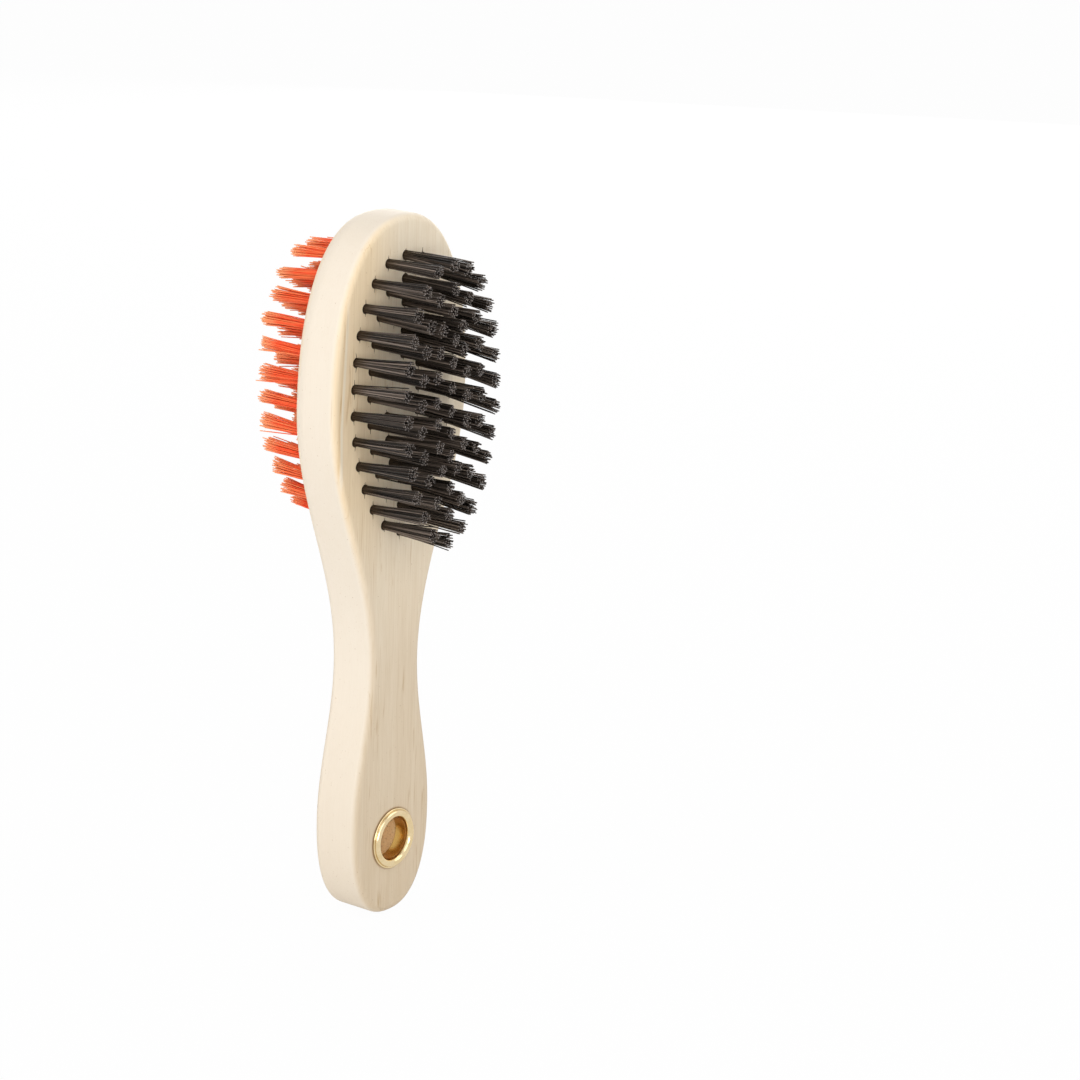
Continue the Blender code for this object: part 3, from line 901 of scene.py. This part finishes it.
def black_style():
    """Stiff, straight bristles in tight bundles."""
    gloss = {"Roughness": 0.24, "Specular_IOR_Level": 0.36, "Specular_Tint": (1.0, 0.90, 0.84, 1)}
    # The root tone is painted light: the warm bounce of the wood on the bristles near it
    root, dark, light = (0.050, 0.032, 0.018, 1), (0.003, 0.0025, 0.002, 1), (0.35, 0.275, 0.225, 1)
    tones, reaches = (root, dark, light, (0.05, 0.04, 0.034, 1)), (5 * MM, 18 * MM, 1 * MM)
    return {
        "slot": "black_nylon",
        "materials": [
            bristle_material("black_nylon", tones, reaches, evenness=2.8, **gloss),
            cut_end_material("black_nylon_cut", (0.012, 0.010, 0.009, 1), (0.34, 0.29, 0.26, 1), 0.4),
        ],
        "count": 38,
        "radius": 0.185 * MM,
        "length": 18 * MM,
        "root_radius": 1.08 * MM,
        "tip_radius": 2.05 * MM,
        "inner_share": 0.78,
        "side_lean": 1.7 * MM,
        "end_lean": 0.3 * MM,
        "skew": 0.8 * MM,
        "fan": (0.9, 1.12),
        "stray": 0.14 * MM,
        "wild_share": 0.03,
        "wildness": 5,
        "tuft_lean": 0.25 * MM,
        "tuft_short": (0.0, 0.35 * MM),
        "low_short": 0.0,
        "short": 0.4 * MM,
        "bow": 0.07 * MM,
        "curve": 1.15,
    }


def orange_style():
    """Softer, finer bristles, fanned and ragged at their ends."""
    gloss = {"Roughness": 0.42, "Specular_IOR_Level": 0.3}
    # The root tone is painted shade, deeper red among the dense roots; the tip tone is a painted highlight
    # on the fanned tips
    root, dark, light = (1.0, 0.075, 0.018, 1), (1.0, 0.092, 0.020, 1), (1.0, 0.29, 0.10, 1)
    tones, reaches = (root, dark, light, (1.0, 0.45, 0.20, 1)), (8 * MM, 19 * MM, 6.5 * MM)
    return {
        "slot": "orange_nylon",
        "materials": [
            bristle_material("orange_nylon", tones, reaches, evenness=1.3, **gloss),
            cut_end_material("orange_nylon_cut", (0.98, 0.35, 0.16, 1), (1.0, 0.70, 0.46, 1), 0.5),
        ],
        "count": 56,
        "radius": 0.165 * MM,
        "length": 19.2 * MM,
        "root_radius": 1.15 * MM,
        "tip_radius": 2.0 * MM,
        "inner_share": 1.0,
        "side_lean": 1.0 * MM,
        "end_lean": 1.7 * MM,
        "skew": 0.0,
        "fan": (0.8, 1.3),
        "stray": 0.22 * MM,
        "wild_share": 0.06,
        "wildness": 4,
        "tuft_lean": 0.4 * MM,
        "tuft_short": (0.0, 0.8 * MM),
        "low_short": 1.6 * MM,
        "short": 0.6 * MM,
        "bow": 0.12 * MM,
        "curve": 1.25,
    }


# Camera, light and floor


def make_camera():
    cos_a, sin_a = math.cos(CAMERA_AZIMUTH), math.sin(CAMERA_AZIMUTH)
    cos_e, sin_e = math.cos(CAMERA_ELEVATION), math.sin(CAMERA_ELEVATION)
    backward = Vector((sin_a * cos_e, -cos_a * cos_e, sin_e))
    level_right = backward.cross(Vector((0, 0, -1))).normalized()
    level_up = backward.cross(level_right)
    right = level_right * math.cos(CAMERA_ROLL) + level_up * math.sin(CAMERA_ROLL)
    up = -level_right * math.sin(CAMERA_ROLL) + level_up * math.cos(CAMERA_ROLL)
    middle = Vector((0, 0, level(CAMERA_TARGET_HEIGHT)))
    eye = middle + backward * CAMERA_DISTANCE + right * CAMERA_RIGHT + up * CAMERA_UP
    data = bpy.data.cameras.new("camera")
    data.sensor_width = SENSOR_WIDTH
    data.lens = CAMERA_FOCAL_PX * SENSOR_WIDTH / PHOTO_PX
    camera = bpy.data.objects.new("camera", data)
    turn = Matrix((right, up, backward)).transposed().to_4x4()
    camera.matrix_world = Matrix.Translation(eye) @ turn
    bpy.context.scene.collection.objects.link(camera)
    bpy.context.scene.camera = camera


def make_world():
    """White where the background shows, by itself or in the brass, and soft even light elsewhere."""
    world = bpy.data.worlds.new("studio")
    world.use_nodes = True
    bpy.context.scene.world = world
    nodes = Nodes(world.node_tree)
    background = world.node_tree.nodes["Background"]
    nodes.set(background.inputs["Color"], WHITE)
    strength = nodes.ramp(seen_share(nodes), 0, 1, WORLD_LIGHT, WORLD_SEEN)
    nodes.set(background.inputs["Strength"], strength)


def seen_share(nodes):
    """1 on rays that show the background: from the camera, in a reflection or through glass."""
    path = nodes.add("ShaderNodeLightPath").outputs
    seen = nodes.math("ADD", path["Is Camera Ray"], path["Is Glossy Ray"])
    return nodes.math("ADD", seen, path["Is Transmission Ray"], clamp=True)


def make_lamp(name, direction, distance, size, power):
    data = bpy.data.lights.new(name, "AREA")
    data.shape = "DISK"
    data.size = size
    data.energy = power
    lamp = bpy.data.objects.new(name, data)
    middle = Vector((0, 0, level(LENGTH / 2)))
    away = Vector(direction).normalized()
    turn = away.to_track_quat("Z", "Y").to_matrix().to_4x4()
    lamp.matrix_world = Matrix.Translation(middle + away * distance) @ turn
    bpy.context.scene.collection.objects.link(lamp)


def make_floor():
    """A pale floor that shows white, with the brush's shadow on it."""
    bm = bmesh.new()
    bmesh.ops.create_grid(bm, x_segments=1, y_segments=1, size=FLOOR_HALF_SIZE)
    material, nodes, shader, _ = new_material("pale_floor", Base_Color=FLOOR_TONE, Roughness=0.9)
    glow = nodes.add("ShaderNodeEmission", {"Color": WHITE, "Strength": 1.0})
    shade = nodes.add("ShaderNodeMixShader")
    nodes.set(shade.inputs[0], nodes.times(seen_share(nodes), FLOOR_WHITE_SHARE))
    nodes.set(shade.inputs[1], shader.outputs[0])
    nodes.set(shade.inputs[2], glow.outputs[0])
    nodes.set(material.node_tree.nodes["Material Output"].inputs["Surface"], shade.outputs[0])
    floor = mesh_object("floor", bm, [material])
    floor.location.z = level(0)


def main():
    make_camera()
    make_world()
    for name, settings in LAMPS.items():
        make_lamp(name, *settings)
    make_floor()
    make_wooden_body()
    make_eyelets()
    make_field("black", FRONT, black_style(), BLACK_SEED)
    make_field("orange", BACK, orange_style(), ORANGE_SEED)
    bpy.context.scene.view_settings.view_transform = "Standard"


main()
bpy.context.view_layer.update()
